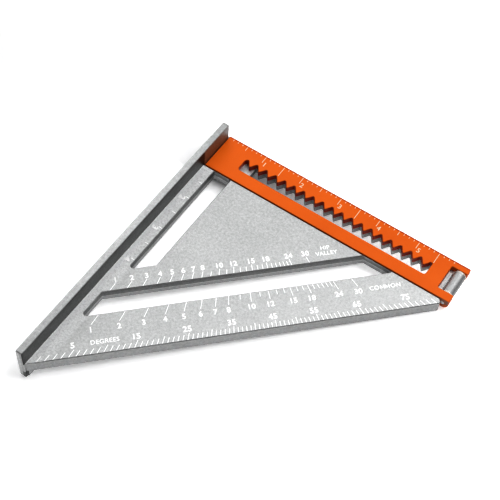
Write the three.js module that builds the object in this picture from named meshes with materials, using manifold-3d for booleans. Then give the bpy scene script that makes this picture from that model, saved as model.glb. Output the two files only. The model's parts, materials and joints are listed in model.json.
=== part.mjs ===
// An extendable speed square: a die-cast triangular plate with a T-bar fence, and a ruler arm
// on a barrel hinge that folds out in line with the plate's ruled edge.
// Millimetres, +Z up. The origin is the pivot corner: x = 0 is the fence's inner face, y = 0 the
// ruled edge and z = 0 the plate's underside. The arm points back from its hinge towards the fence.
import * as THREE from 'three';
import { mergeVertices } from 'three/addons/utils/BufferGeometryUtils.js';
import Module from 'manifold-3d';

const wasm = await Module();
wasm.setup();

// Plate and fence
const INCH = 25.4;
const LONG_EDGE = 184;
const PLATE_THICKNESS = 7.6;
const FENCE_OUTER_X = -4.7;
const FENCE_UPPER_INNER_X = -0.65;
const FENCE_FAR_Y = -1.3;
const FENCE_NEAR_Y = -185.5;
const STOP_NEAR_Y = -184;
const FENCE_RISE = 11.3;
const FENCE_DROP = 5.5;
const PLATE_ROOT_X = -1.2;
const FENCE_CORNER_RADIUS = 0.9;
const CAST_CHAMFER = 0.35;

// Ledge that carries the folded arm: half the plate is left under it
const ARM_WIDTH = 25.7;
const LEDGE_HEIGHT = PLATE_THICKNESS / 2;
const LEDGE_CLEARANCE = 0.55;
const RECESS_CHAMFER = 0.5;
const LEDGE_END_X = 151.1;

// Arm
const ARM_THICKNESS = 3.75;
const ARM_START_X = -0.35;
const ARM_CHAMFER = 0.25;
const EAR_CORNER_RADIUS = 0.5;
const ARM_CORNER_RADIUS = 0.7;

// Barrel hinge, its axis along Y in the plane between the arm and the ledge
const HINGE_X = 155.1;
const HINGE_Z = PLATE_THICKNESS / 2;
const ARM_END_X = HINGE_X + ARM_THICKNESS;
const NOTCH_START_X = 149.1;
const FAR_EAR_WIDTH = 4;
const NEAR_EAR_START_Y = -20.4;
const EAR_RADIUS = 3.75;
const BARREL_RADIUS = 3.5;
const BARREL_WEB_HEIGHT = 2;
const PIN_RADIUS = 1.6;
const PIN_RECESS = 0.35;
const PIN_CHAMFER = 0.25;
const EAR_BORE_GAP = 0.02;
const RUNNING_GAP = 0.05;
const WASHER_THICKNESS = 0.8;
const WASHER_GAP = 0.05;
const ROUND_SEGMENTS = 40;

// Scribing slot: a row of notches a quarter inch apart, cut through the arm and the ledge
const NOTCH_PITCH = INCH / 4;
const NOTCH_COUNT = 20;
const FIRST_NOTCH_X = 3 * NOTCH_PITCH - 1;
const NOTCH_PEAK_Y = -8.6;
const NOTCH_TIP_Y = -12.2;
const NOTCH_PEAK_FLAT = 0.9;
const NOTCH_TIP_FLAT = 0.6;
const NOTCH_ROUNDING = 0.45;
const SCRIBE_NEAR_Y = -17.5;
const SCRIBE_START_X = 16.7;
const SCRIBE_END_X = 139.5;
const SCRIBE_CORNER_RADIUS = 1.6;
const LEDGE_SCRIBE_START_X = 23.8;
const LEDGE_SCRIBE_PLAY = 0.15;

// Windows in the plate. Slanted sides run parallel to the long edge: x - y is constant on them.
const LONG_WINDOW_UPPER = 132.5;
const LONG_WINDOW_LOWER = 150.9;
const LONG_WINDOW_START_X = 4.4;
const FENCE_WINDOW_START_X = 6.55;
const FENCE_WINDOW_END_X = 17.9;
const FENCE_WINDOW_SLANT = 115.15;
const WINDOW_RADIUS = 1.6;
const SHARP_END_RADIUS = 0.8;
const HIDDEN_RADIUS = 0.6;
const HINGE_CORNER_X = 155.2;
const HINGE_CORNER_SET_BACK = 1.7;
const PARTING_RIDGE = 0.3;
const RIDGE_MARGIN = 2;

const FINE_ARC_STEP = Math.PI / 12;
const COARSE_ARC_STEP = Math.PI / 6;

// Adds to a path the corners given as [x, y, radius], rounding each with an arc.
function traceRounded(path, corners) {
  corners.forEach(([x, y, radius], index) => {
    const corner = new THREE.Vector2(x, y);
    const [beforeX, beforeY] = corners[(index + corners.length - 1) % corners.length];
    const [afterX, afterY] = corners[(index + 1) % corners.length];
    const back = new THREE.Vector2(beforeX, beforeY).sub(corner).normalize();
    const ahead = new THREE.Vector2(afterX, afterY).sub(corner).normalize();
    const halfAngle = Math.acos(THREE.MathUtils.clamp(back.dot(ahead), -1, 1)) / 2;
    const tangent = radius / Math.tan(halfAngle);
    const start = corner.clone().addScaledVector(back, tangent);
    const end = corner.clone().addScaledVector(ahead, tangent);
    const bisector = back.clone().add(ahead).normalize();
    const centre = corner.clone().addScaledVector(bisector, radius / Math.sin(halfAngle));
    const from = Math.atan2(start.y - centre.y, start.x - centre.x);
    const to = Math.atan2(end.y - centre.y, end.x - centre.x);
    const sweep = Math.atan2(Math.sin(to - from), Math.cos(to - from));
    const arcStep = radius < 1 ? COARSE_ARC_STEP : FINE_ARC_STEP;
    const steps = Math.max(1, Math.ceil(Math.abs(sweep) / arcStep));
    for (let step = 0; step <= steps; step += 1) {
      const angle = from + (sweep * step) / steps;
      const pointX = centre.x + radius * Math.cos(angle);
      const pointY = centre.y + radius * Math.sin(angle);
      if (index === 0 && step === 0) path.moveTo(pointX, pointY);
      else path.lineTo(pointX, pointY);
    }
  });
  path.closePath();
  return path;
}

// A plate from z = bottom to z = top with all its edges chamfered.
function chamferedPlate(outline, holes, bottom, top, chamfer) {
  const shape = traceRounded(new THREE.Shape(), outline);
  shape.holes = holes.map((hole) => traceRounded(new THREE.Path(), hole));
  const geometry = new THREE.ExtrudeGeometry(shape, {
    depth: top - bottom - 2 * chamfer,
    bevelEnabled: true,
    bevelThickness: chamfer,
    bevelSize: chamfer,
    bevelOffset: -chamfer,
    bevelSegments: 1,
    steps: 1,
  });
  return geometry.translate(0, 0, bottom + chamfer);
}

// A block between two corners.
function block(low, high) {
  const size = high.map((value, axis) => value - low[axis]);
  const geometry = new THREE.BoxGeometry(...size);
  return geometry.translate(...low.map((value, axis) => value + size[axis] / 2));
}

// A cylinder on the hinge axis between two y values.
function hingeCylinder(radius, lowY, highY) {
  const geometry = new THREE.CylinderGeometry(radius, radius, highY - lowY, ROUND_SEGMENTS);
  return geometry.translate(HINGE_X, (lowY + highY) / 2, HINGE_Z);
}

// A prism along X whose section in the Y-Z plane is the given outline.
function prismAlongX(section, lowX, highX) {
  const shape = new THREE.Shape(section.map(([y, z]) => new THREE.Vector2(y, z)));
  const geometry = new THREE.ExtrudeGeometry(shape, { depth: highX - lowX, bevelEnabled: false });
  geometry.rotateX(Math.PI / 2);
  geometry.rotateZ(Math.PI / 2);
  return geometry.translate(lowX, 0, 0);
}

// A three.js geometry as a solid that can be joined and cut.
function solid(geometry) {
  const bare = geometry.clone();
  bare.deleteAttribute('normal');
  bare.deleteAttribute('uv');
  const merged = mergeVertices(bare, 1e-5);
  return new wasm.Manifold(
    new wasm.Mesh({
      numProp: 3,
      vertProperties: new Float32Array(merged.getAttribute('position').array),
      triVerts: new Uint32Array(merged.index.array),
    }),
  );
}

function geometryOf(manifold) {
  const mesh = manifold.getMesh();
  const geometry = new THREE.BufferGeometry();
  geometry.setAttribute('position', new THREE.BufferAttribute(mesh.vertProperties, 3));
  geometry.setIndex(new THREE.BufferAttribute(mesh.triVerts, 1));
  geometry.computeVertexNormals();
  return geometry;
}

// The scribing slot's outline, widened by play, from startX to the hinge end.
// Its far side is a row of notches, the first one cut short by the slot's end; its near side is
// straight.
function scribingSlot(startX, play) {
  const peakY = NOTCH_PEAK_Y + play;
  const tipY = NOTCH_TIP_Y + play;
  const corners = [
    [startX - play, SCRIBE_NEAR_Y - play, SCRIBE_CORNER_RADIUS],
    [SCRIBE_END_X + play, SCRIBE_NEAR_Y - play, SCRIBE_CORNER_RADIUS],
  ];
  for (let notch = NOTCH_COUNT - 1; notch >= 0; notch -= 1) {
    const peakX = FIRST_NOTCH_X + notch * NOTCH_PITCH;
    if (peakX < startX) break;
    const last = notch === NOTCH_COUNT - 1;
    const first = peakX - NOTCH_PITCH < startX;
    const flankTopX = peakX - NOTCH_PEAK_FLAT / 2;
    const tipX = peakX - NOTCH_PITCH / 2;
    const flankFootX = tipX + NOTCH_TIP_FLAT / 2;
    corners.push([last ? SCRIBE_END_X + play : peakX + NOTCH_PEAK_FLAT / 2, peakY, NOTCH_ROUNDING]);
    corners.push([flankTopX, peakY, NOTCH_ROUNDING]);
    if (first) {
      const cut = (flankTopX - startX + play) / (flankTopX - flankFootX);
      corners.push([startX - play, THREE.MathUtils.lerp(peakY, tipY, cut), NOTCH_ROUNDING]);
    } else {
      corners.push([flankFootX, tipY, NOTCH_ROUNDING]);
      corners.push([tipX - NOTCH_TIP_FLAT / 2, tipY, NOTCH_ROUNDING]);
    }
  }
  return corners;
}

// The long window between the two rafter scales, widened by margin; it ends under the ledge's edge.
function longWindow(margin = 0) {
  const startX = LONG_WINDOW_START_X - margin;
  const endY = margin - ARM_WIDTH - LEDGE_CLEARANCE;
  const upper = LONG_WINDOW_UPPER - margin * Math.SQRT2;
  const lower = LONG_WINDOW_LOWER + margin * Math.SQRT2;
  return [
    [startX, startX - upper, SHARP_END_RADIUS],
    [startX, startX - lower, WINDOW_RADIUS],
    [lower + endY, endY, SHARP_END_RADIUS],
    [upper + endY, endY, WINDOW_RADIUS],
  ];
}

// The narrow window along the fence, widened by margin.
function fenceWindow(margin = 0) {
  const startX = FENCE_WINDOW_START_X - margin;
  const endX = FENCE_WINDOW_END_X + margin;
  const endY = margin - ARM_WIDTH - LEDGE_CLEARANCE;
  const slant = FENCE_WINDOW_SLANT + margin * Math.SQRT2;
  return [
    [startX, endY, WINDOW_RADIUS],
    [startX, startX - slant, WINDOW_RADIUS],
    [endX, endX - slant, SHARP_END_RADIUS],
    [endX, endY, WINDOW_RADIUS],
  ];
}

// The draft of a cast window's walls: they lean out from a ridge on the parting line, halfway
// down, to the window's edges on both faces.
function partingRidge(windowOutline) {
  const shape = traceRounded(new THREE.Shape(), windowOutline(RIDGE_MARGIN));
  shape.holes = [traceRounded(new THREE.Path(), windowOutline())];
  const draftHeight = PLATE_THICKNESS / 2 - CAST_CHAMFER;
  const geometry = new THREE.ExtrudeGeometry(shape, {
    depth: 0.02,
    bevelEnabled: true,
    bevelThickness: draftHeight,
    bevelSize: PARTING_RIDGE,
    bevelSegments: 1,
    steps: 1,
  });
  return solid(geometry.translate(0, 0, CAST_CHAMFER + draftHeight - 0.01));
}

// A bar along the fence between two heights, from its near end to its far end, and from the
// fence's outer face to innerX.
function fenceBar(bottom, top, nearY, innerX) {
  const outline = [
    [nearY, bottom, FENCE_CORNER_RADIUS],
    [FENCE_FAR_Y, bottom, FENCE_CORNER_RADIUS],
    [FENCE_FAR_Y, top, FENCE_CORNER_RADIUS],
    [nearY, top, FENCE_CORNER_RADIUS],
  ];
  const geometry = chamferedPlate(outline, [], FENCE_OUTER_X, innerX, CAST_CHAMFER);
  geometry.rotateX(Math.PI / 2);
  geometry.rotateZ(Math.PI / 2);
  return solid(geometry);
}

// The T-bar fence. Below the plate its inner face comes forward to x = 0, the machined stop.
function fence() {
  const top = PLATE_THICKNESS + FENCE_RISE;
  const tall = fenceBar(-FENCE_DROP, top, FENCE_NEAR_Y, FENCE_UPPER_INNER_X);
  const stop = fenceBar(-FENCE_DROP, PLATE_THICKNESS / 2, STOP_NEAR_Y, 0);
  return tall.add(stop);
}

// The casting: triangular plate, fence, arm ledge and hinge barrel in one piece.
function squareBody() {
  const recessY = -ARM_WIDTH - LEDGE_CLEARANCE;
  const outline = [
    [PLATE_ROOT_X, 0, HIDDEN_RADIUS],
    [PLATE_ROOT_X, PLATE_ROOT_X - LONG_EDGE, HIDDEN_RADIUS],
    [HINGE_CORNER_X, HINGE_CORNER_X - LONG_EDGE, SHARP_END_RADIUS],
    [HINGE_CORNER_X - HINGE_CORNER_SET_BACK, recessY, SHARP_END_RADIUS],
    [LEDGE_END_X, recessY, HIDDEN_RADIUS],
    [LEDGE_END_X, 0, HIDDEN_RADIUS],
  ];
  const holes = [
    scribingSlot(LEDGE_SCRIBE_START_X, LEDGE_SCRIBE_PLAY),
    longWindow(),
    fenceWindow(),
  ];
  const flatPlate = solid(chamferedPlate(outline, holes, 0, PLATE_THICKNESS, CAST_CHAMFER));
  const plate = flatPlate.add(partingRidge(longWindow)).add(partingRidge(fenceWindow));
  const top = PLATE_THICKNESS + 1;
  const recess = solid(block([FENCE_UPPER_INNER_X, recessY, LEDGE_HEIGHT], [LONG_EDGE, 1, top]));
  const farCorner = solid(block([FENCE_OUTER_X, FENCE_FAR_Y, -1], [FENCE_UPPER_INNER_X, 1, top]));
  const bevel = prismAlongX(
    [
      [recessY + 1, PLATE_THICKNESS + 1],
      [recessY - RECESS_CHAMFER - 1, PLATE_THICKNESS + 1],
      [recessY + 1, PLATE_THICKNESS - RECESS_CHAMFER - 1],
    ],
    FENCE_UPPER_INNER_X,
    LONG_EDGE,
  );
  const barrelLow = NEAR_EAR_START_Y + WASHER_THICKNESS + 2 * WASHER_GAP;
  const barrelHigh = -FAR_EAR_WIDTH - WASHER_THICKNESS - 2 * WASHER_GAP;
  const barrel = solid(hingeCylinder(BARREL_RADIUS, barrelLow, barrelHigh));
  const webLow = HINGE_Z - BARREL_RADIUS;
  const web = solid(
    block([LEDGE_END_X - 2, barrelLow, webLow], [HINGE_X, barrelHigh, webLow + BARREL_WEB_HEIGHT]),
  );
  const bore = solid(hingeCylinder(PIN_RADIUS + RUNNING_GAP, -ARM_WIDTH, 0));
  return plate
    .subtract(recess)
    .subtract(solid(bevel))
    .subtract(farCorner)
    .add(fence())
    .add(barrel)
    .add(web)
    .subtract(bore);
}

// The ruler arm: a flat bar with a forked hinge end whose ears wrap the pin.
function extensionArm() {
  const outline = [
    [ARM_START_X, 0, ARM_CORNER_RADIUS],
    [ARM_START_X, -ARM_WIDTH, ARM_CORNER_RADIUS],
    [ARM_END_X, -ARM_WIDTH, ARM_CORNER_RADIUS],
    [ARM_END_X, NEAR_EAR_START_Y, EAR_CORNER_RADIUS],
    [NOTCH_START_X, NEAR_EAR_START_Y, ARM_CORNER_RADIUS],
    [NOTCH_START_X, -FAR_EAR_WIDTH, ARM_CORNER_RADIUS],
    [ARM_END_X, -FAR_EAR_WIDTH, EAR_CORNER_RADIUS],
    [ARM_END_X, 0, ARM_CORNER_RADIUS],
  ];
  const bottom = PLATE_THICKNESS - ARM_THICKNESS;
  const bar = solid(
    chamferedPlate(outline, [scribingSlot(SCRIBE_START_X, 0)], bottom, PLATE_THICKNESS, ARM_CHAMFER),
  );
  const farEar = solid(hingeCylinder(EAR_RADIUS, -FAR_EAR_WIDTH, -ARM_CHAMFER));
  const nearEar = solid(hingeCylinder(EAR_RADIUS, -ARM_WIDTH + ARM_CHAMFER, NEAR_EAR_START_Y));
  const bore = solid(hingeCylinder(PIN_RADIUS + EAR_BORE_GAP, -ARM_WIDTH - 1, 1));
  return bar.add(farEar).add(nearEar).subtract(bore);
}

// The hinge pin, pressed into both ears, its chamfered ends just below their faces.
function hingePin() {
  const halfLength = ARM_WIDTH / 2 - PIN_RECESS;
  const profile = [
    new THREE.Vector2(0, -halfLength),
    new THREE.Vector2(PIN_RADIUS - PIN_CHAMFER, -halfLength),
    new THREE.Vector2(PIN_RADIUS, -halfLength + PIN_CHAMFER),
    new THREE.Vector2(PIN_RADIUS, halfLength - PIN_CHAMFER),
    new THREE.Vector2(PIN_RADIUS - PIN_CHAMFER, halfLength),
    new THREE.Vector2(0, halfLength),
  ];
  const geometry = new THREE.LatheGeometry(profile, ROUND_SEGMENTS);
  return solid(geometry.translate(HINGE_X, -ARM_WIDTH / 2, HINGE_Z));
}

// A friction washer that fills the space between an ear and the barrel.
function thrustWasher(lowY) {
  const disc = solid(hingeCylinder(BARREL_RADIUS, lowY, lowY + WASHER_THICKNESS));
  const hole = solid(hingeCylinder(PIN_RADIUS + RUNNING_GAP, lowY - 1, lowY + WASHER_THICKNESS + 1));
  return disc.subtract(hole);
}

const castAluminium = { color: 0xbcbebd, roughness: 0.5, metalness: 0.85 };
const orangePaint = { color: 0xe8621a, roughness: 0.4, metalness: 0 };
const groundSteel = { color: 0xc9cbca, roughness: 0.25, metalness: 1 };
const paleNylon = { color: 0xeee6dc, roughness: 0.55, metalness: 0 };

function named(name, manifold, look) {
  const mesh = new THREE.Mesh(geometryOf(manifold), new THREE.MeshStandardMaterial(look));
  mesh.name = name;
  return mesh;
}

const speedSquare = new THREE.Group();
const foldingArm = new THREE.Group();
foldingArm.add(
  named('extension_arm', extensionArm(), orangePaint),
  named('hinge_pin', hingePin(), groundSteel),
);
speedSquare.add(
  named('square_body', squareBody(), castAluminium),
  named('thrust_washer_far', thrustWasher(-FAR_EAR_WIDTH - WASHER_GAP - WASHER_THICKNESS), paleNylon),
  named('thrust_washer_near', thrustWasher(NEAR_EAR_START_Y + WASHER_GAP), paleNylon),
  foldingArm,
);

export default speedSquare;
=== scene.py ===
"""The looks of an extendable speed square: a cast triangular square with a T-bar fence, and an
orange ruler arm folded back over it on a barrel hinge. Metres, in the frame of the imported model:
+X along the ruled edge away from the fence, -Y down the fence and +Z up. Sizes are given in
millimetres, and MM turns them into metres."""

import json
import math

import bmesh
import bpy
from mathutils import Matrix, Quaternion, Vector


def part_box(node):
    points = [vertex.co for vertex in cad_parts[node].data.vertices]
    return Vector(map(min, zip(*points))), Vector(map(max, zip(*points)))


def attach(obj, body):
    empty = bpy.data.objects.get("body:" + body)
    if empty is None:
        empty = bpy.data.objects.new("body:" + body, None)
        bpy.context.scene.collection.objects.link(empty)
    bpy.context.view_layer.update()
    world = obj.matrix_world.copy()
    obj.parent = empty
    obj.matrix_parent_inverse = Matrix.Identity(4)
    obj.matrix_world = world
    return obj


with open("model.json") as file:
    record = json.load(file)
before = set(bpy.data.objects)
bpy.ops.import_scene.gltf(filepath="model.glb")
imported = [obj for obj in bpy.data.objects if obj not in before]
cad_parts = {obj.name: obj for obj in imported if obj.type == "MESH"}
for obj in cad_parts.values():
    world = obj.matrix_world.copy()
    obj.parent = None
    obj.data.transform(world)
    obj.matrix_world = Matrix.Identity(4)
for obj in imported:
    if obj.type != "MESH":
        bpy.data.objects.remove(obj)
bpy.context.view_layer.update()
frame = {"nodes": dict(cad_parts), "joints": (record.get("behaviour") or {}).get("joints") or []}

MM = 0.001
INCH = 25.4

# The square's shape, as far as its looks need it, in millimetres. On the long edge x - y is
# LONG_EDGE. The folded arm's top is level with the plate's.
LONG_EDGE = 184
PLATE_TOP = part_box("extension_arm")[1].z / MM
LEDGE_END_X = 151.1
NEAR_EAR_START_Y = -20.4
ARM_WIDTH = 25.7
FENCE_UPPER_INNER_X = -0.65
FENCE_WINDOW_START_X = 6.55

# The hinge's place and the lowest points of the square and the arm, in metres.
HINGE = Vector(frame["joints"][0]["pos_m"])
SQUARE_FOOT_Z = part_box("square_body")[0].z
ARM_FOOT_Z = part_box("extension_arm")[0].z

# A direction is an azimuth, where 0 is the near side and 90 the hinge's side, and an elevation,
# in degrees. The camera's target, distance and lens are in millimetres.
CAMERA_TARGET = (53.406, -59.786, PLATE_TOP)
CAMERA_DIRECTION = (29.474, 55.996)
CAMERA_DISTANCE = 643.37
CAMERA_ROLL = 5.17
CAMERA_LENS = 84.915

# Softboxes: azimuth, elevation and watts. Their size and distance are in metres.
SOFTBOXES = {
    "softbox_high_right": (135, 62, 14.0),
    "softbox_far_left": (225, 32, 4.2),
    "softbox_high_far_left": (225, 62, 1.8),
    "softbox_high_left": (270, 62, 2.2),
    "softbox_near": (0, 62, 2.8),
}
SOFTBOX_AIM = (60, -60, 0)
SOFTBOX_SIZE = 0.8
SOFTBOX_DISTANCE = 1.3
WORLD_GLOW = 0.22
DISPLAY_GAMMA = 0.7

# The floor reaches this many metres each way. Under the arm it glows from dim at the fence to
# bright at the hinge, a painted shadow of the plate on the floor.
FLOOR_REACH = 12.0
FLOOR_CLEARANCE = 0.02
FLOOR_GLOW = 0.36
FLOOR_GLOW_UNDER_ARM = (0.02, 0.75)

# Colours, in linear red, green and blue.
WHITE = (1, 1, 1, 1)
PAPER = (0.93, 0.93, 0.935, 1)
ORANGE = (0.74, 0.158, 0.004, 1)
LIGHT_ORANGE = (0.79, 0.178, 0.006, 1)
FLECK_ORANGE = (0.66, 0.125, 0.005, 1)
WORN_ORANGE = (0.50, 0.13, 0.03, 1)
# Painted shade on the arm's walls and far rim, and on the near ear's outer face.
PAINTED_SHADE_ORANGE = (0.38, 0.03, 0.006, 1)
EAR_SHADE_BROWN = (0.27, 0.17, 0.13, 1)
DULL_NYLON = (0.68, 0.64, 0.58, 1)
BRIGHT_NYLON = (0.80, 0.76, 0.70, 1)
DULL_CREAM = (0.80, 0.62, 0.44, 1)
BRIGHT_CREAM = (0.92, 0.76, 0.58, 1)

# How much of the blasted tone each part of the casting keeps. These tones are painted light and shade:
# painted shade on the walls, a painted highlight along the windows' parting line, and painted light on
# the strip beside the fence and on the barrel. A wall's bands are pairs of the height in millimetres
# where a band starts, and its tone.
# Windows' walls, in painted shade: dark at the foot, lighter up to the parting line, a painted highlight
# along it, and darker above it.
WINDOW_WALL_SHADE_BANDS = [(0, 0.2), (0.6, 0.7), (3.6, 1.1), (4.0, 0.45)]
# The long edge's wall, in painted shade, darkest at its foot.
LONG_EDGE_SHADE_BANDS = [(0, 0.25), (0.45, 0.8)]
# The ledge's walls under the arm and the fence's inner wall are painted in shade, the fence's wall less
# so beside the arm.
LEDGE_WALL_SHADE = 0.6
FENCE_WALL_SHADES = (0.1, 0.14)
FENCE_WALL_SHADE_BY_ARM = 0.6
# The strip beside the fence is painted lighter against the fence's shadow, and the fence's top a little
# lighter: painted light.
LIGHT_BESIDE_FENCE = 1.95
FENCE_TOP_LIGHT = 1.02
# The barrel is painted lighter at its fence side and darker at its end: painted light and shade.
BARREL_LIGHT_AND_SHADE = (1.15, 0.72)
BRIGHTEST_TONE = 0.97

# Printed markings stand a little proud of the metal and reach a little into it.
PRINT_PROUD = 0.025
PRINT_SUNK = 0.012

# Text: the share of its size that its capitals are tall, its spacing, and for each kind the
# capitals' height in millimetres and how far its outlines are pushed out to make it bolder.
CAP_SHARE = 0.72
LETTER_SPACING = 1.05
ARM_FIGURES = {"cap": 3.1, "weight": 0.06}
DEGREE_FIGURES = {"cap": 3.4, "weight": 0.14}
RAFTER_FIGURES = {"cap": 3.2, "weight": 0.14}
FENCE_FIGURES = {"cap": 3.5, "weight": 0.14}
DEGREES_WORD = {"cap": 2.6, "weight": 0.06}
COMMON_WORD = {"cap": 2.6, "weight": 0.07}
HIP_VALLEY_WORDS = {"cap": 2.5, "weight": 0.07}

# Widths of the printed ticks and of the strokes of an M, in millimetres.
ARM_TICK = 0.38
DEGREE_TICK = 0.44
RAFTER_TICK = 0.42
FENCE_TICK = 0.4
M_STROKE = 0.42

# Rafter rises in inches. The labelled ones have long ticks.
LABELLED_RISES = [1, 2, 3, 4, 5, 6, 7, 8, 10, 12, 15, 18, 24, 30]
MINOR_RISES = [9, 11, 13, 14, 16, 17, 19, 20, 21, 22, 23]

# The rafter scales, one on each side of the long window. Each rise is over the run. The other
# sizes are in millimetres inward from the long edge: ticks run from their start beside the
# window to their end, and labels stand at label_at. Along the edge a label stands where its ray
# is label_ray far inward, moved by the shift.
RAFTER_SCALES = {
    "common_rafter_scale": {
        "run": 12,
        "start": 22.8,
        "labelled_end": 17.6,
        "minor_end": 19.9,
        "label_at": 14.7,
        "label_ray": 17.5,
        "shift": -0.5,
    },
    "hip_valley_scale": {
        "run": 12 * math.sqrt(2),
        "start": 36.8,
        "labelled_end": 40.7,
        "minor_end": 39.7,
        "label_at": 43.0,
        "label_ray": 41.0,
        "shift": 0.0,
    },
}


# ---------------------------------------------------------------- camera, floor and light


def direction(azimuth, elevation):
    """A unit vector for an azimuth and an elevation in degrees."""
    turn = math.radians(azimuth)
    tilt = math.radians(elevation)
    return Vector((
        math.sin(turn) * math.cos(tilt),
        -math.cos(turn) * math.cos(tilt),
        math.sin(tilt),
    ))


def facing(away):
    """The rotation of a camera or a light that looks back along the direction away."""
    return (-away).to_track_quat("-Z", "Y")


def set_camera():
    """The camera: high above the plate, from the near right, and rolled a few degrees."""
    back = direction(*CAMERA_DIRECTION)
    data = bpy.data.cameras.new("camera")
    data.sensor_width = 36
    data.lens = CAMERA_LENS
    data.clip_start = 0.01
    data.clip_end = 20
    camera = bpy.data.objects.new("camera", data)
    camera.rotation_mode = "QUATERNION"
    camera.rotation_quaternion = facing(back) @ Quaternion((0, 0, 1), math.radians(CAMERA_ROLL))
    camera.location = (Vector(CAMERA_TARGET) + back * CAMERA_DISTANCE) * MM
    bpy.context.scene.collection.objects.link(camera)
    bpy.context.scene.camera = camera


def floor_slope():
    """The floor's slope in the square's frame: the square lies on its fence's lower edge and
    on the ears of its hinge, so its plate is tipped a little towards the fence."""
    ear_radius = HINGE.z - ARM_FOOT_Z
    rise = HINGE.z - SQUARE_FOOT_Z
    tip = math.atan2(rise, HINGE.x) - math.asin(ear_radius / math.hypot(HINGE.x, rise))
    return math.tan(tip)


def make_floor():
    """A pale floor. Past the hinge it is level, so that the unfolded arm lies on it."""
    foot_z = SQUARE_FOOT_Z - FLOOR_CLEARANCE * MM
    slope = floor_slope()
    columns = [-FLOOR_REACH, HINGE.x, FLOOR_REACH]
    heights = [foot_z + slope * min(x, HINGE.x) for x in columns]
    mesh = bmesh.new()
    rows = []
    for x, z in zip(columns, heights):
        rows.append([mesh.verts.new((x, y, z)) for y in (-FLOOR_REACH, FLOOR_REACH)])
    for left, right in zip(rows, rows[1:]):
        mesh.faces.new((left[0], right[0], right[1], left[1]))
    data = bpy.data.meshes.new("floor")
    mesh.to_mesh(data)
    mesh.free()
    data.materials.append(floor_paper())
    floor = bpy.data.objects.new("floor", data)
    bpy.context.scene.collection.objects.link(floor)


def set_light():
    """Soft studio light, most of it from high on the far right."""
    aim = Vector(SOFTBOX_AIM) * MM
    for name, (azimuth, elevation, power) in SOFTBOXES.items():
        data = bpy.data.lights.new(name, "AREA")
        data.shape = "SQUARE"
        data.size = SOFTBOX_SIZE
        data.energy = power
        away = direction(azimuth, elevation)
        light = bpy.data.objects.new(name, data)
        light.location = aim + away * SOFTBOX_DISTANCE
        light.rotation_mode = "QUATERNION"
        light.rotation_quaternion = facing(away)
        bpy.context.scene.collection.objects.link(light)
    world = bpy.data.worlds.new("studio")
    world.use_nodes = True
    world.node_tree.nodes["Background"].inputs["Strength"].default_value = WORLD_GLOW
    bpy.context.scene.world = world
    bpy.context.scene.view_settings.view_transform = "Standard"
    bpy.context.scene.view_settings.gamma = DISPLAY_GAMMA


# ---------------------------------------------------------------- materials


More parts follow.
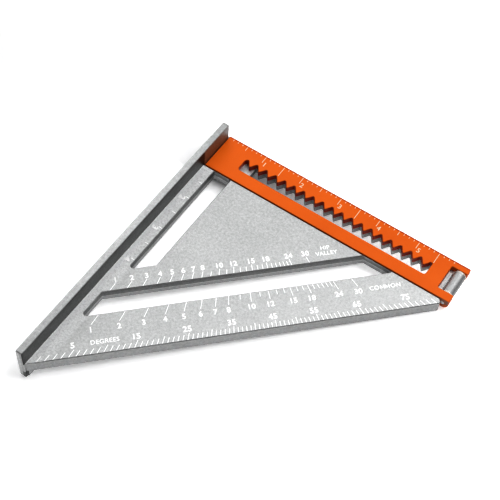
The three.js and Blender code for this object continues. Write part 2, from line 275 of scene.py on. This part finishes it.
class Finish:
    """A material being made: one Principled shader, and the nodes that feed it."""

    def __init__(self, name):
        self.material = bpy.data.materials.new(name)
        self.material.use_nodes = True
        self.tree = self.material.node_tree
        self.shader = self.tree.nodes["Principled BSDF"]
        self.place = self.tree.nodes.new("ShaderNodeTexCoord").outputs["Object"]

    def set(self, socket, value):
        """A value that is the same all over, or the output of a node, for the shader."""
        self.feed(self.shader.inputs[socket], value)

    def feed(self, socket, value):
        """Links a node's output to the socket, or sets the socket to a plain value."""
        if isinstance(value, bpy.types.NodeSocket):
            self.tree.links.new(value, socket)
        else:
            socket.default_value = value

    def node(self, kind, inputs, **settings):
        """A new node with these inputs fed and these properties set."""
        made = self.tree.nodes.new(kind)
        for key, value in settings.items():
            setattr(made, key, value)
        for key, value in inputs.items():
            self.feed(made.inputs[key], value)
        return made

    def stretched(self, scale):
        """The place on the object, scaled along each axis. A small scale draws noise out."""
        return self.node("ShaderNodeMapping", {"Vector": self.place, "Scale": scale}).outputs[0]

    def noise(self, size, detail=2.0, roughness=0.5, place=None):
        """Noise of about 0 to 1, with blobs of that size in millimetres."""
        inputs = {
            "Vector": self.place if place is None else place,
            "Scale": 1 / (size * MM),
            "Detail": detail,
            "Roughness": roughness,
        }
        return self.node("ShaderNodeTexNoise", inputs).outputs["Fac"]

    def spread(self, value, low, high, to_low, to_high):
        """The value from low to high, turned into to_low to to_high."""
        inputs = {"Value": value, 1: low, 2: high, 3: to_low, 4: to_high}
        return self.node("ShaderNodeMapRange", inputs).outputs[0]

    def math(self, operation, first, second=0.0):
        """The result of a sum or another operation on two values."""
        return self.node("ShaderNodeMath", {0: first, 1: second}, operation=operation).outputs[0]

    def blend(self, share, first, second):
        """A colour between two colours, or a number between two numbers."""
        kind = "RGBA" if isinstance(first, tuple) or self.is_colour(first) else "FLOAT"
        made = self.node("ShaderNodeMix", {}, data_type=kind)
        a, b, result = {"RGBA": (6, 7, 2), "FLOAT": (2, 3, 0)}[kind]
        self.feed(made.inputs[0], share)
        self.feed(made.inputs[a], first)
        self.feed(made.inputs[b], second)
        return made.outputs[result]

    @staticmethod
    def is_colour(value):
        """Whether the value is a node's colour output."""
        return isinstance(value, bpy.types.NodeSocket) and value.type == "RGBA"

    def axes(self):
        """The x, y and z of the place on the object, in metres."""
        return self.node("ShaderNodeSeparateXYZ", {0: self.place}).outputs

    def ramp(self, place, start, end, first, last):
        """The first value up to the start, the last from the end on, and a slope between.
        The start and the end are in millimetres."""
        return self.spread(place, start * MM, end * MM, first, last)

    def above(self, place, limit, softness, side=1):
        """0 below the limit and 1 above it, or the other way round with side at -1. The limit
        and the softness are in millimetres."""
        reach = softness * side
        return self.ramp(place, limit - reach, limit + reach, 0.0, 1.0)

    def overlap(self, *masks):
        """1 only where every mask is 1."""
        product = masks[0]
        for mask in masks[1:]:
            product = self.math("MULTIPLY", product, mask)
        return product

    def banded(self, height, bands, softness):
        """A value that changes with height. Each band is where it starts, and its value."""
        value = bands[0][1]
        for start, band in bands[1:]:
            value = self.blend(self.above(height, start, softness), value, band)
        return value

    def upright(self):
        """0 on level faces and 1 on walls."""
        normal = self.node("ShaderNodeNewGeometry", {}).outputs["True Normal"]
        rise = self.node("ShaderNodeSeparateXYZ", {0: normal}).outputs[2]
        return self.spread(self.math("ABSOLUTE", rise), 0.75, 0.6, 0.0, 1.0)

    def edges(self, radius):
        """0 on flat stretches, rising to 1 on edges rounder than the radius in millimetres."""
        rounded = self.node("ShaderNodeBevel", {"Radius": radius * MM}, samples=4).outputs[0]
        flat = self.node("ShaderNodeNewGeometry", {}).outputs["Normal"]
        both = self.node("ShaderNodeVectorMath", {0: rounded, 1: flat}, operation="DOT_PRODUCT")
        return self.spread(both.outputs["Value"], 0.995, 0.9, 0.0, 1.0)

    def bump(self, height, strength, depth):
        """Relief of that depth in millimetres."""
        inputs = {"Height": height, "Strength": strength, "Distance": depth * MM}
        self.set("Normal", self.node("ShaderNodeBump", inputs).outputs[0])


def grey(value):
    """A grey colour of that linear value."""
    return (value, value, value, 1)


def floor_paper():
    """Matt paper with a faint even glow of its own. In the band under the arm the glow changes along it,
    a painted shadow of the plate.
    """
    finish = Finish("floor_paper")
    x, y, _ = finish.axes()
    finish.set("Base Color", PAPER)
    finish.set("Roughness", 0.9)
    finish.set("Emission Color", WHITE)
    under_arm = finish.overlap(
        finish.above(y, -ARM_WIDTH, 2),
        finish.above(y, 2, 2, side=-1),
    )
    # Painted shadow: under the arm the floor glows less towards the fence.
    glow_under_arm = finish.ramp(x, 20, 140, *FLOOR_GLOW_UNDER_ARM)
    finish.set("Emission Strength", finish.blend(under_arm, FLOOR_GLOW, glow_under_arm))
    return finish.material


def casting_tone(finish, x, y, z):
    """How much of the blasted tone each face of the casting keeps, as painted light and shade.
    The walls are painted darker than the level faces as shade: the fence's inner wall most, then the
    windows' walls. The strip beside the fence is painted lighter. Each limit stands a fraction of a
    millimetre before the face that it picks out."""
    across = finish.math("SUBTRACT", x, y)
    on_long_edge = finish.above(across, LONG_EDGE - 0.6, 0.2)
    on_fence_wall = finish.overlap(
        finish.above(x, FENCE_UPPER_INNER_X - 0.3, 0.1),
        finish.above(z, PLATE_TOP + 0.15, 0.1),
    )
    inside_outline = finish.overlap(
        finish.above(x, 2, 0.5),
        finish.above(y, -2, 0.5, side=-1),
        finish.above(across, LONG_EDGE - 3, 0.5, side=-1),
        finish.above(x, LEDGE_END_X - 1, 0.5, side=-1),
    )
    under_arm = finish.above(y, -ARM_WIDTH, 0.1)
    beside_arm = finish.above(y, -ARM_WIDTH, 0.3)
    on_fence_top = finish.above(z, PLATE_TOP + 4, 1)

    # The windows' walls carry painted shade, with a painted highlight at the parting line.
    window_wall = finish.banded(z, WINDOW_WALL_SHADE_BANDS, 0.1)
    window_wall = finish.blend(under_arm, window_wall, LEDGE_WALL_SHADE)
    # The fence's inner wall is painted in shade, less so beside the arm.
    fence_wall = finish.ramp(z, 8, 14, *FENCE_WALL_SHADES)
    fence_wall = finish.blend(beside_arm, fence_wall, FENCE_WALL_SHADE_BY_ARM)
    wall = finish.blend(inside_outline, 1.0, window_wall)
    # The long edge's wall carries painted shade, darkest at its foot.
    wall = finish.blend(on_long_edge, wall, finish.banded(z, LONG_EDGE_SHADE_BANDS, 0.15))
    wall = finish.blend(on_fence_wall, wall, fence_wall)
    # Painted light: the strip beside the fence is lighter against the fence's shadow.
    level = finish.ramp(x, 0.5, 9, LIGHT_BESIDE_FENCE, 1.0)
    level = finish.blend(on_fence_top, level, FENCE_TOP_LIGHT)
    return finish.blend(finish.upright(), level, wall)


def cast_aluminium():
    """Blasted die-cast aluminium, brighter and smoother on its edges. The hinge barrel is turned. Light
    and shade are painted into its tone.
    """
    finish = Finish("cast_aluminium")
    x, y, z = finish.axes()
    speckle = finish.noise(0.42, detail=3.0, roughness=0.65)
    grain = finish.noise(1.3, detail=2.0, roughness=0.6)
    cloud = finish.noise(28.0, detail=3.0, roughness=0.55)
    blasted = finish.math(
        "ADD", finish.math("MULTIPLY", speckle, 0.6), finish.math("MULTIPLY", grain, 0.4)
    )
    rings = finish.stretched((0.02, 1.0, 0.02))
    turned = finish.noise(0.3, detail=2.0, roughness=0.6, place=rings)
    edge = finish.edges(0.5)
    on_barrel = finish.overlap(
        finish.above(x, LEDGE_END_X + 0.4, 0.2),
        finish.above(y, NEAR_EAR_START_Y + 0.2, 0.1),
    )

    tone = finish.spread(blasted, 0.32, 0.68, 0.36, 0.64)
    tone = finish.math("MULTIPLY", tone, finish.spread(cloud, 0.3, 0.7, 0.96, 1.03))
    turned_tone = finish.blend(0.6, finish.spread(turned, 0.3, 0.7, 0.48, 0.58), tone)
    # Painted light and shade: the barrel is lighter at its fence side and darker towards its end.
    turned_tone = finish.math("MULTIPLY", turned_tone, finish.ramp(x, 153, 158, *BARREL_LIGHT_AND_SHADE))
    tone = finish.blend(on_barrel, tone, turned_tone)
    tone = finish.blend(finish.math("MULTIPLY", edge, 0.5), tone, 0.8)
    # Painted shade on the walls and painted light on the strip beside the fence.
    tone = finish.math("MULTIPLY", tone, casting_tone(finish, x, y, z))
    tone = finish.math("MINIMUM", tone, BRIGHTEST_TONE)
    colour = finish.node("ShaderNodeCombineColor", {
        "Red": finish.math("MULTIPLY", tone, 0.99),
        "Green": tone,
        "Blue": tone,
    }).outputs[0]
    finish.set("Base Color", colour)
    finish.set("Metallic", 1.0)
    rough = finish.spread(blasted, 0.3, 0.7, 0.54, 0.46)
    rough = finish.blend(on_barrel, rough, finish.spread(turned, 0.3, 0.7, 0.56, 0.64))
    finish.set("Roughness", finish.blend(edge, rough, 0.4))
    relief = finish.blend(on_barrel, blasted, finish.math("MULTIPLY", turned, 0.3))
    finish.bump(relief, strength=0.35, depth=0.12)
    return finish.material


def shade_arm(finish, paint):
    """The arm's paint with painted shade: darker on the slot's walls, the near and end walls and the far
    edge's rim, and brown on the near ear's outer face."""
    x, y, _ = finish.axes()
    upright = finish.upright()
    in_slot = finish.overlap(finish.above(y, -7, 0.5, side=-1), finish.above(y, -20, 0.5))
    on_near_wall = finish.above(y, 0.2 - ARM_WIDTH, 0.1, side=-1)
    on_end_wall = finish.above(x, HINGE.x / MM + 3, 0.3)
    on_far_rim = finish.above(y, -0.9, 0.1)
    on_ear = finish.overlap(finish.above(x, LEDGE_END_X + 0.3, 0.3), on_near_wall, upright)

    outer = finish.math("MULTIPLY", finish.math("MAXIMUM", on_near_wall, on_end_wall), 0.6)
    walls = finish.overlap(finish.math("MAXIMUM", in_slot, outer), upright)
    # Painted shade on the walls and on the far rim.
    painted_shade = finish.math("MAXIMUM", walls, finish.math("MULTIPLY", on_far_rim, 0.8))
    paint = finish.blend(painted_shade, paint, PAINTED_SHADE_ORANGE)
    return finish.blend(finish.math("MULTIPLY", on_ear, 0.8), paint, EAR_SHADE_BROWN)


def arm_paint():
    """Orange powder coat, with a fine orange-peel relief and thinner on the edges. Its walls carry
    painted shade.
    """
    finish = Finish("arm_paint")
    peel = finish.noise(0.9, detail=2.0, roughness=0.5)
    fleck = finish.noise(0.35, detail=2.0, roughness=0.6)
    cloud = finish.noise(22.0, detail=3.0, roughness=0.5)
    scuff = finish.noise(1.1, detail=3.0, roughness=0.6)
    worn = finish.math("MULTIPLY", finish.edges(0.45), finish.spread(scuff, 0.4, 0.62, 0.25, 0.8))
    paint = finish.blend(finish.spread(cloud, 0.3, 0.7, 0.0, 1.0), ORANGE, LIGHT_ORANGE)
    paint = finish.blend(finish.spread(fleck, 0.55, 0.75, 0.0, 0.25), paint, FLECK_ORANGE)
    paint = finish.blend(worn, paint, WORN_ORANGE)
    finish.set("Base Color", shade_arm(finish, paint))
    finish.set("Metallic", 0.0)
    finish.set("Roughness", finish.spread(peel, 0.3, 0.7, 0.36, 0.5))
    finish.set("Specular IOR Level", 0.27)
    relief = finish.math("ADD", peel, finish.math("MULTIPLY", fleck, 0.4))
    finish.bump(relief, strength=0.12, depth=0.08)
    return finish.material


def pin_steel():
    """Ground steel, with the fine rings of turning on its ends."""
    finish = Finish("pin_steel")
    turning = finish.stretched((1.0, 0.05, 1.0))
    rings = finish.noise(0.25, detail=2.0, roughness=0.6, place=turning)
    finish.set("Base Color", finish.blend(rings, grey(0.52), grey(0.64)))
    finish.set("Metallic", 1.0)
    finish.set("Roughness", finish.spread(rings, 0.3, 0.7, 0.22, 0.36))
    finish.bump(rings, strength=0.15, depth=0.03)
    return finish.material


def washer_nylon():
    """Off-white nylon, a little rough from moulding."""
    finish = Finish("washer_nylon")
    mottle = finish.noise(0.6, detail=2.0, roughness=0.5)
    finish.set("Base Color", finish.blend(mottle, DULL_NYLON, BRIGHT_NYLON))
    finish.set("Roughness", finish.spread(mottle, 0.3, 0.7, 0.45, 0.62))
    finish.bump(mottle, strength=0.2, depth=0.04)
    return finish.material


def scale_print(name, dull, bright, glow):
    """Pale printing ink, duller where the grain of the metal shows through. Its glow is painted light,
    which keeps it pale in the fence's shade.
    """
    finish = Finish(name)
    grain = finish.noise(0.35, detail=3.0, roughness=0.6)
    cover = finish.spread(grain, 0.35, 0.65, 0.0, 1.0)
    finish.set("Base Color", finish.blend(cover, dull, bright))
    finish.set("Roughness", finish.spread(grain, 0.3, 0.7, 0.5, 0.7))
    finish.set("Emission Color", WHITE)
    finish.set("Emission Strength", glow)
    finish.bump(grain, strength=0.2, depth=0.03)
    return finish.material


# ---------------------------------------------------------------- the CAD nodes


def smoothing_group():
    """Geometry nodes that join the facets of a CAD solid and shade them smooth."""
    group = bpy.data.node_groups.new("join_facets", "GeometryNodeTree")
    group.interface.new_socket("Geometry", in_out="INPUT", socket_type="NodeSocketGeometry")
    group.interface.new_socket("Geometry", in_out="OUTPUT", socket_type="NodeSocketGeometry")
    start = group.nodes.new("NodeGroupInput")
    bare = group.nodes.new("GeometryNodeRemoveAttribute")
    bare.inputs["Name"].default_value = "custom_normal"
    merge = group.nodes.new("GeometryNodeMergeByDistance")
    merge.inputs["Distance"].default_value = 0.001 * MM
    smooth = group.nodes.new("GeometryNodeSetShadeSmooth")
    end = group.nodes.new("NodeGroupOutput")
    for before, after in ((start, bare), (bare, merge), (merge, smooth), (smooth, end)):
        group.links.new(before.outputs[0], after.inputs[0])
    return group


def finish_node(name, material, group, softening):
    """Gives a CAD node its material and softens its edges by that many millimetres."""
    node = frame["nodes"][name]
    node.material_slots[0].material = material
    node.modifiers.new("join_facets", "NODES").node_group = group
    flatten = node.modifiers.new("flatten", "DECIMATE")
    flatten.decimate_type = "DISSOLVE"
    flatten.angle_limit = math.radians(0.5)
    bevel = node.modifiers.new("soften", "BEVEL")
    bevel.width = softening * MM
    bevel.segments = 2
    bevel.limit_method = "ANGLE"
    bevel.angle_limit = math.radians(35)
    bevel.harden_normals = True


# ---------------------------------------------------------------- markings


class Marking:
    """One printed marking: ticks and text in one thin mesh that lies on the top face."""

    def __init__(self, name):
        self.name = name
        self.mesh = bmesh.new()

    def corners(self, points, z):
        """New corners of the mesh at those points and that height."""
        return [self.mesh.verts.new(Vector((x, y, z)) * MM) for x, y in points]

    def outline(self, points):
        """A thin patch of ink with these corners, in order anticlockwise."""
        low = self.corners(points, PLATE_TOP - PRINT_SUNK)
        high = self.corners(points, PLATE_TOP + PRINT_PROUD)
        self.mesh.faces.new(high)
        self.mesh.faces.new(low[::-1])
        for i in range(len(points)):
            j = (i + 1) % len(points)
            self.mesh.faces.new((low[i], low[j], high[j], high[i]))

    def line(self, start, end, width):
        """A straight tick from start to end."""
        start = Vector(start)
        end = Vector(end)
        side = (end - start).orthogonal().normalized() * width / 2
        self.outline([start - side, end - side, end + side, start + side])

    def text(self, words, place, right, cap, weight, align="CENTER"):
        """Text whose middle height is at place, reading along right, with capitals cap high."""
        thickness = PRINT_PROUD + PRINT_SUNK
        curve = bpy.data.curves.new(self.name, "FONT")
        curve.body = words
        curve.align_x = align
        curve.align_y = "BOTTOM_BASELINE"
        curve.size = cap / CAP_SHARE
        curve.offset = weight
        curve.space_character = LETTER_SPACING
        curve.resolution_u = 3
        curve.extrude = thickness / 2
        holder = bpy.data.objects.new(self.name, curve)
        bpy.context.scene.collection.objects.link(holder)
        bpy.context.view_layer.update()
        evaluated = holder.evaluated_get(bpy.context.evaluated_depsgraph_get())
        made = bpy.data.meshes.new_from_object(evaluated)
        right = Vector((*right, 0)).normalized()
        up = Vector((-right.y, right.x, 0))
        middle_z = PLATE_TOP + PRINT_PROUD - thickness / 2
        origin = Vector((*place, middle_z)) - up * cap / 2
        turn = Matrix((right, up, Vector((0, 0, 1)))).transposed().to_4x4()
        made.transform(Matrix.Scale(MM, 4) @ Matrix.Translation(origin) @ turn)
        self.mesh.from_mesh(made)
        bpy.data.meshes.remove(made)
        bpy.data.objects.remove(holder)
        bpy.data.curves.remove(curve)

    def letter_m(self, foot, right, width, cap):
        """A capital M of straight strokes, from its left foot. Its middle dips to a fifth of the
        capitals' height."""
        up = Vector((-right.y, right.x))
        left_leg = M_STROKE / 2
        right_leg = width - M_STROKE / 2
        turns = [(left_leg, 0), (left_leg, cap), (width / 2, 0.2 * cap), (right_leg, cap), (right_leg, 0)]
        places = [foot + right * along + up * height for along, height in turns]
        for start, end in zip(places, places[1:]):
            self.line(start, end, M_STROKE)

    def print_on(self, body, material):
        """Makes the marking a piece that rides on that body."""
        data = bpy.data.meshes.new(self.name)
        bmesh.ops.remove_doubles(self.mesh, verts=self.mesh.verts, dist=0.0005 * MM)
        bmesh.ops.recalc_face_normals(self.mesh, faces=self.mesh.faces)
        self.mesh.to_mesh(data)
        self.mesh.free()
        data.materials.append(material)
        piece = bpy.data.objects.new(self.name, data)
        bpy.context.scene.collection.objects.link(piece)
        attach(piece, body)


ALONG_EDGE = Vector((1, 1)).normalized()
INWARD = Vector((-1, 1)).normalized()


def from_edge(along, inward):
    """A place given by its distance along the long edge from the fence, and inward from it."""
    return Vector((0, -LONG_EDGE)) + ALONG_EDGE * along + INWARD * inward


def ray(angle, inward):
    """Where the ray from the pivot corner at that angle from the fence is that far inward."""
    outward = Vector((math.sin(angle), -math.cos(angle)))
    reach = LONG_EDGE - inward * math.sqrt(2)
    return outward * reach / (outward.x - outward.y)


def arm_ruler(ink):
    """Inches and eighths along the arm's far edge. Every second half inch has a long line."""
    marks = Marking("arm_ruler")
    start_y = -0.85
    for eighth in range(1, 48):
        x = eighth * INCH / 8
        if eighth % 8 == 0:
            end_y = -5.5
        elif eighth % 16 == 12:
            end_y = -8.2
        elif eighth % 16 == 4:
            end_y = -3.7
        else:
            end_y = -2.0
        marks.line((x, start_y), (x, end_y), ARM_TICK)
    for inch in range(1, 6):
        beside_line = (inch * INCH + 0.9, -5.75)
        marks.text(str(inch), beside_line, (1, 0), **ARM_FIGURES, align="LEFT")
    marks.print_on("arm", ink)


def degree_scale(ink):
    """Degree ticks along the long edge, aimed at the pivot corner. The figures are moved along
    the edge as their rays lean, which they do most at the edge's ends."""
    marks = Marking("degree_scale")
    margin = 0.35
    figures_at = 7.0
    lean_share = 0.65
    shift = -0.7
    half_edge = LONG_EDGE / math.sqrt(2)
    for degree in range(1, 80):
        angle = math.radians(degree)
        depth = 4.4 if degree % 5 == 0 else 3.4
        marks.line(ray(angle, margin), ray(angle, depth), DEGREE_TICK)
    for degree in range(5, 80, 10):
        along = ray(math.radians(degree), 0).x * math.sqrt(2)
        lean = lean_share * figures_at * (half_edge - along) / half_edge
        place = from_edge(along + lean + shift, figures_at)
        marks.text(str(degree), place, ALONG_EDGE, **DEGREE_FIGURES)
    marks.text("DEGREES", from_edge(40.7, figures_at), ALONG_EDGE, **DEGREES_WORD)
    marks.print_on("square", ink)


def rafter_scale(name, ink, run, start, labelled_end, minor_end, label_at, label_ray, shift):
    """Ticks and figures for rafters that rise so many inches over the run."""
    marks = Marking(name)
    for rise in LABELLED_RISES + MINOR_RISES:
        angle = math.atan2(rise, run)
        end = labelled_end if rise in LABELLED_RISES else minor_end
        marks.line(ray(angle, start), ray(angle, end), RAFTER_TICK)
    for rise in LABELLED_RISES:
        foot = ray(math.atan2(rise, run), label_ray)
        along = (foot - from_edge(0, 0)).dot(ALONG_EDGE)
        marks.text(str(rise), from_edge(along + shift, label_at), ALONG_EDGE, **RAFTER_FIGURES)
    marks.print_on("square", ink)


def rafter_names(ink):
    """The names of the two rafter scales. The Ms of COMMON are drawn with strokes."""
    marks = Marking("rafter_scale_names")
    common_at = 15.2
    common_foot = common_at - COMMON_WORD["cap"] / 2
    marks.text("CO", from_edge(189.7, common_at), ALONG_EDGE, **COMMON_WORD, align="RIGHT")
    for along in (190.1, 192.9):
        marks.letter_m(from_edge(along, common_foot), ALONG_EDGE, width=2.5, cap=2.5)
    marks.text("ON", from_edge(195.8, common_at), ALONG_EDGE, **COMMON_WORD, align="LEFT")
    marks.text("HIP", from_edge(166.4, 45.1), ALONG_EDGE, **HIP_VALLEY_WORDS)
    marks.text("VALLEY", from_edge(166.5, 41.5), ALONG_EDGE, **HIP_VALLEY_WORDS)
    marks.print_on("square", ink)


def fence_ruler(ink):
    """Half inches along the fence, ending at the narrow window. The figures read down it."""
    marks = Marking("fence_ruler")
    start_x = FENCE_WINDOW_START_X - 2.6
    end_x = FENCE_WINDOW_START_X - 0.3
    for half in range(3, 9):
        y = -half * INCH / 2
        marks.line((start_x, y), (end_x, y), FENCE_TICK)
    for inch in range(2, 5):
        below_line = (2.7, -inch * INCH - 1.6)
        marks.text(str(inch), below_line, (0, -1), **FENCE_FIGURES)
    marks.print_on("square", ink)


# ---------------------------------------------------------------- the whole scene

set_camera()
make_floor()
set_light()

facets = smoothing_group()
nylon = washer_nylon()
finish_node("square_body", cast_aluminium(), facets, softening=0.12)
finish_node("extension_arm", arm_paint(), facets, softening=0.1)
finish_node("hinge_pin", pin_steel(), facets, softening=0.08)
finish_node("thrust_washer_far", nylon, facets, softening=0.06)
finish_node("thrust_washer_near", nylon, facets, softening=0.06)

# The ink's glow is painted light.
ink = scale_print("scale_print", grey(0.86), grey(0.97), glow=0.2)
arm_ruler(scale_print("arm_print", DULL_CREAM, BRIGHT_CREAM, glow=0.0))
degree_scale(ink)
for scale_name, sizes in RAFTER_SCALES.items():
    rafter_scale(scale_name, ink, **sizes)
rafter_names(ink)
fence_ruler(ink)
